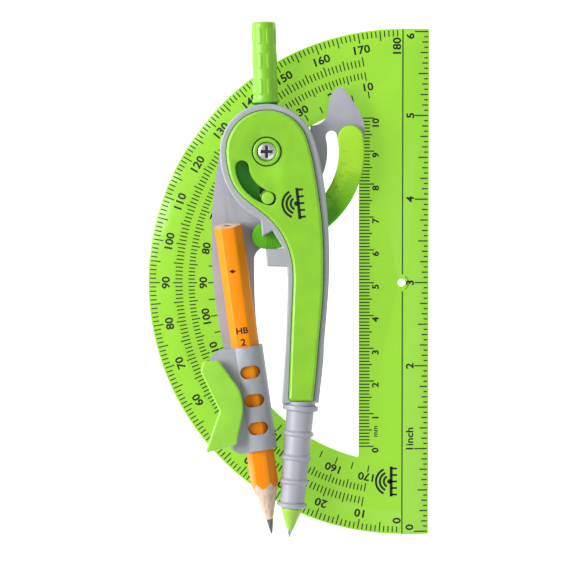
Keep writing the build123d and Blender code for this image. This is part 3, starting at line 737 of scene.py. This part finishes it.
def inch_rule(marks, lettering):
    """Six inches along the straight edge, in sixteenths."""
    inch = 25.4
    figures_x, right = 2.5, RULE_W - 0.35
    reaches = ((16, 4.0), (8, 2.9), (4, 2.3), (2, 1.75), (1, 1.15))
    for sixteenth in range(6 * 16 + 1):
        y = inch * (sixteenth / 16 - 3)
        reach = next(length for step, length in reaches if sixteenth % step == 0)
        marks.stroke((right - reach, y), (right, y), 0.4)
    for whole in range(2, 6):
        lettering.text(str(whole), (figures_x, inch * (whole - 3)), INCH_SIZE, 90, BOLD)
    lettering.text("1inch", (figures_x, inch * (1 - 3) + 2.9), 2.25, 90, 0.07)
    lettering.text("6", (figures_x, inch * 3 - 1.4), INCH_SIZE, 90, BOLD)
    lettering.text("0", (figures_x, -inch * 3 + 1.3), INCH_SIZE, 90, BOLD)


def fan_sign(lettering, place, size, turn):
    """Small sign: a fan of arcs over a toothed base line, with a dot at its centre."""
    rotation = Matrix.Rotation(radians(turn), 2)
    centre = Vector(place)
    half, base, tooth_end = 1.15, -0.14, -0.58
    arc_width, base_width, tooth_width, dot_width = 0.17, 0.22, 0.15, 0.18

    def spot(x, y):
        return centre + rotation @ Vector((x, y)) * size

    for reach in (0.42, 0.72, 1.02):
        lettering.bend(centre, reach * size, turn + 25, turn + 155, arc_width * size)
    lettering.stroke(spot(-half, base), spot(half, base), base_width * size)
    lettering.bend(centre, dot_width / 2 * size, 0, 360, dot_width * size, 12)
    for side in (-1.0, -0.5, 0, 0.5, 1.0):
        lettering.stroke(spot(side, base), spot(side, tooth_end), tooth_width * size)


def protractor():
    """The plate with its print, and the line and small ring at its centre hole."""
    rounded(
        "protractor_plate", "protractor_moulding", "protractor", "clear_green", "clear_green",
        width=0.12,
    )
    marks, lettering = Print(plate_level), Print(plate_level)
    degree_ticks(marks)
    centimetre_rule(marks, lettering)
    inch_rule(marks, lettering)
    degree_numbers(lettering)
    fan_sign(lettering, (-3.6, -60.8), 4.0, 90)
    marks.piece("protractor_ticks", "protractor", "clear_green", "tick_ink")
    lettering.piece("protractor_numbers", "protractor", "clear_green", "dark_ink")
    base = Print(plate_level)
    line_x, line_end, line_gap, line_width = 0.26, 76.8, 2.6, 0.42
    base.stroke((line_x, -line_end), (line_x, -line_gap), line_width)
    base.stroke((line_x, line_gap), (line_x, line_end), line_width)
    base.bend((0, 0), 2.2, -60, 60, 0.2)
    base.piece("protractor_base_line", "protractor", "clear_green", "line_ink")


# ---------------------------------------------------------------- compass
def around(radius, angle):
    """Place about the pivot, angle in degrees."""
    return Vector((PIVOT.x + radius * cos(radians(angle)), PIVOT.y + radius * sin(radians(angle))))


def scale_arc():
    """Opening scale, with fine raised marks along its outer half and figures inside them."""
    arc = rounded("scale_arc", "scale_arc_moulding", "pencil_leg", "green_plastic", "arc_green")
    relief = Print(surface_of(arc), 0.06)
    first, last, step = ARC_FROM + 2, ARC_TO - 22, 1.5
    long_mark, short_mark, mark_end, mark_width = 24.4, 25.4, ARC_OUT - 0.7, 0.24
    for k in range(round((last - first) / step)):
        angle = first + k * step
        inner = long_mark if k % 5 == 0 else short_mark
        relief.stroke(around(inner, angle), around(mark_end, angle), mark_width)
    figures_r, figure_step = 23.5, 9
    for figure in range(1, 10):
        angle = ARC_TO - figure_step * figure
        relief.text(str(figure), around(figures_r, angle), 1.5, angle - 90, 0.02)
    # The raised marks and figures get a darker copy of the arc's green: painted shade that picks
    # them out.
    relief.piece("scale_arc_relief", "pencil_leg", "green_plastic", "arc_relief_painted_shade")


def off_slot(place):
    """Distance of a place from the middle line of the curved slot in the front leg."""
    steps, away = 24, []
    for k in range(steps + 1):
        turn = (SLOT_SWEEP + SLOT_SPARE) * k / steps - SLOT_SPARE
        radius, angle = PIN_REST_R - PIN_PER_RAD * turn, HANDLE_AXIS + pi - turn
        middle = PIVOT + Vector((cos(angle), sin(angle), 0)) * radius
        away.append(hypot(place.x - middle.x, place.y - middle.y))
    return min(away)


def needle_leg_cover():
    """Green cover, drawn in all round so that a dark seam shows between it and the casing."""
    cover = rounded(
        "needle_leg_cover", "needle_leg_face", "needle_leg", "green_plastic", "cover_green",
        width=0.15,
    )
    seam, near = 0.2, 0.4
    shifts = []
    for vertex in cover.data.vertices:
        place = vertex.co / MM
        hole = hypot(place.x - PIVOT.x, place.y - PIVOT.y) < HOLE_R + near
        fixed = hole or off_slot(place) < SLOT_HALF + near
        flat = Vector((vertex.normal.x, vertex.normal.y, 0))
        shifts.append(Vector() if fixed else flat * -seam * MM)
    for vertex, shift in zip(cover.data.vertices, shifts):
        vertex.co += shift
    sign = Print(surface_of(cover))
    fan_sign(sign, (PIVOT.x + 8.9, PIVOT.y - 15.6), 4.1, 96)
    sign.piece("cover_print", "needle_leg", "green_plastic", "dark_ink")


def pivot_screw():
    """Cross-recess screw: bright head, with painted shade: its recess and the lines between its arms
    are coloured dark.
    """
    screw = rounded(
        "pivot_screw", "pivot_screw_head", "handle", "steel", "screw_zinc", "painted_shade_zinc",
        width=0.06,
    )
    crown = PIVOT.z + SCREW_FRONT
    recess_r, recess_low, recess_high, steep = 2.1, crown - 1.0, crown - 0.35, 0.7
    # Faces in the recess get the dark zinc: painted shade.
    for face in screw.data.polygons:
        place = face.center / MM
        inside = hypot(place.x - PIVOT.x, place.y - PIVOT.y) < recess_r
        if inside and place.z > recess_low and (place.z < recess_high or face.normal.z < steep):
            face.material_index = 1
    # Dark strokes between the recess's arms: painted shade.
    corners = Print(surface_of(screw), 0.02)
    line_from, line_to, line_width = 0.75, 1.7, 0.2
    for angle in range(45, 360, 90):
        for turn in (-14, 14):
            start, end = around(line_from, angle + turn), around(line_to, angle)
            corners.stroke(start, end, line_width)
    corners.piece("pivot_screw_shade_lines", "handle", "steel", "painted_shade_zinc")


def centring_pin():
    """The pin, with its collar widened to fill the handle plate's slot."""
    pin = rounded(
        "centring_pin", "centring_pin_moulding", "centring_pin", "green_plastic", "lever_green",
        width=0.12,
    )
    shaft_r, collar_r = 2.1, 2.38
    axis = PIVOT - Vector((cos(HANDLE_AXIS), sin(HANDLE_AXIS), 0)) * PIN_REST_R
    for vertex in pin.data.vertices:
        across = Vector((vertex.co.x / MM - axis.x, vertex.co.y / MM - axis.y, 0))
        if across.length > shaft_r:
            vertex.co += across * (collar_r / across.length - 1) * MM


def compass():
    """Every piece of the compass, from the needle end to the pivot."""
    needle_barrel()
    nose_cone()
    needle_point()
    grip()
    handle_plate()
    pencil_casing()
    rounded("pencil_lead", "pencil_lead_rounded", "pencil", "graphite", "graphite", width=0.04)
    rounded(
        "needle_leg_shell", "needle_leg_casing", "needle_leg", "grey_plastic", "shell_grey",
        width=0.35, segments=3,
    )
    needle_leg_cover()
    rounded(
        "pencil_leg_frame", "pencil_leg_moulding", "pencil_leg", "grey_plastic", "frame_grey",
        width=0.3, segments=3,
    )
    scale_arc()
    rounded(
        "pencil_sleeve", "pencil_sleeve_moulding", "pencil_leg", "grey_plastic", "sleeve_grey",
        width=0.4, segments=3,
    )
    rounded(
        "clamp_lever", "clamp_lever_moulding", "clamp_lever", "green_plastic", "lever_green",
        width=0.4, segments=3,
    )
    rounded(
        "pivot_bush", "pivot_bush_moulding", "handle", "green_plastic", "cover_green", width=0.12
    )
    pivot_screw()
    centring_pin()


def plain_nodes():
    """CAD nodes that keep their shape and get a finish."""
    finishes = {
        "pivot_nut": "zinc",
        "spring_washer": "zinc",
        "arc_screws": "zinc",
        "clamp_pin": "zinc",
        "clamp_pin_clip": "zinc",
        "friction_washers": "white_nylon",
    }
    for name, finish in finishes.items():
        for place in nodes[name].material_slots:
            place.material = MATERIALS[finish]


# ---------------------------------------------------------------- studio
def area_light(name, place, target, size, power):
    """Soft rectangular light aimed at a target."""
    light = bpy.data.lights.new(name, "AREA")
    light.shape = "RECTANGLE"
    light.size, light.size_y = size
    light.energy = power
    obj = bpy.data.objects.new(name, light)
    obj.location = place
    obj.rotation_euler = (Vector(target) - Vector(place)).to_track_quat("-Z", "Y").to_euler()
    bpy.context.scene.collection.objects.link(obj)


def floor():
    """Pale paper, lit a little from within so that shadows on it stay light."""
    size, below = 4.0, 0.0002
    sides = ((-1, -1), (1, -1), (1, 1), (-1, 1))
    corners = [(size * x, size * y, cad_box[0].z - below) for x, y in sides]
    mesh = bpy.data.meshes.new("floor")
    mesh.from_pydata(corners, [], [(0, 1, 2, 3)])
    obj = bpy.data.objects.new("floor", mesh)
    material, tree, shader = new_material("floor_paper")
    paper = ramp(tree, noise(tree, 30, 3), [(0.3, (0.86, 0.86, 0.86)), (0.7, (0.88, 0.88, 0.88))])
    tree.links.new(paper, shader.inputs["Base Color"])
    shader.inputs["Roughness"].default_value = 0.8
    shader.inputs["Emission Color"].default_value = (1, 1, 1, 1)
    shader.inputs["Emission Strength"].default_value = 0.85
    mesh.materials.append(material)
    bpy.context.scene.collection.objects.link(obj)


def world():
    """Even light from all round."""
    sky = bpy.data.worlds.new("studio")
    sky.use_nodes = True
    background = sky.node_tree.nodes["Background"]
    background.inputs["Color"].default_value = (0.98, 0.99, 1.0, 1)
    background.inputs["Strength"].default_value = 0.4
    bpy.context.scene.world = sky


def camera():
    """Above the compass's head, aimed at the middle of the set."""
    aim = Vector((-33.93, -2.33, 0)) * MM
    eye = Vector((-33.93, 50.0, 900.0)) * MM
    lens = bpy.data.cameras.new("camera")
    lens.sensor_width = 36.0
    view_width, seen_at = 175.8 * MM, 5.5 * MM
    lens.lens = lens.sensor_width * ((eye - aim).length - seen_at) / view_width
    lens.clip_start, lens.clip_end = 0.01, 20.0
    obj = bpy.data.objects.new("camera", lens)
    back = (eye - aim).normalized()
    up = (Vector((0, 1, 0)) - back * back.y).normalized()
    turned = Matrix((up.cross(back), up, back)).transposed().to_4x4()
    obj.matrix_world = Matrix.Translation(eye) @ turned
    bpy.context.scene.collection.objects.link(obj)
    bpy.context.scene.camera = obj


def studio():
    floor()
    world()
    middle = (-0.03, 0, 0)
    area_light("key", (-1.05, 0.2, 0.68), middle, (0.8, 0.8), 18.0)
    area_light("fill", (0.5, -0.7, 1.1), middle, (1.0, 1.0), 3.0)
    camera()
    bpy.context.scene.view_settings.view_transform = "Standard"


protractor()
compass()
plain_nodes()
studio()
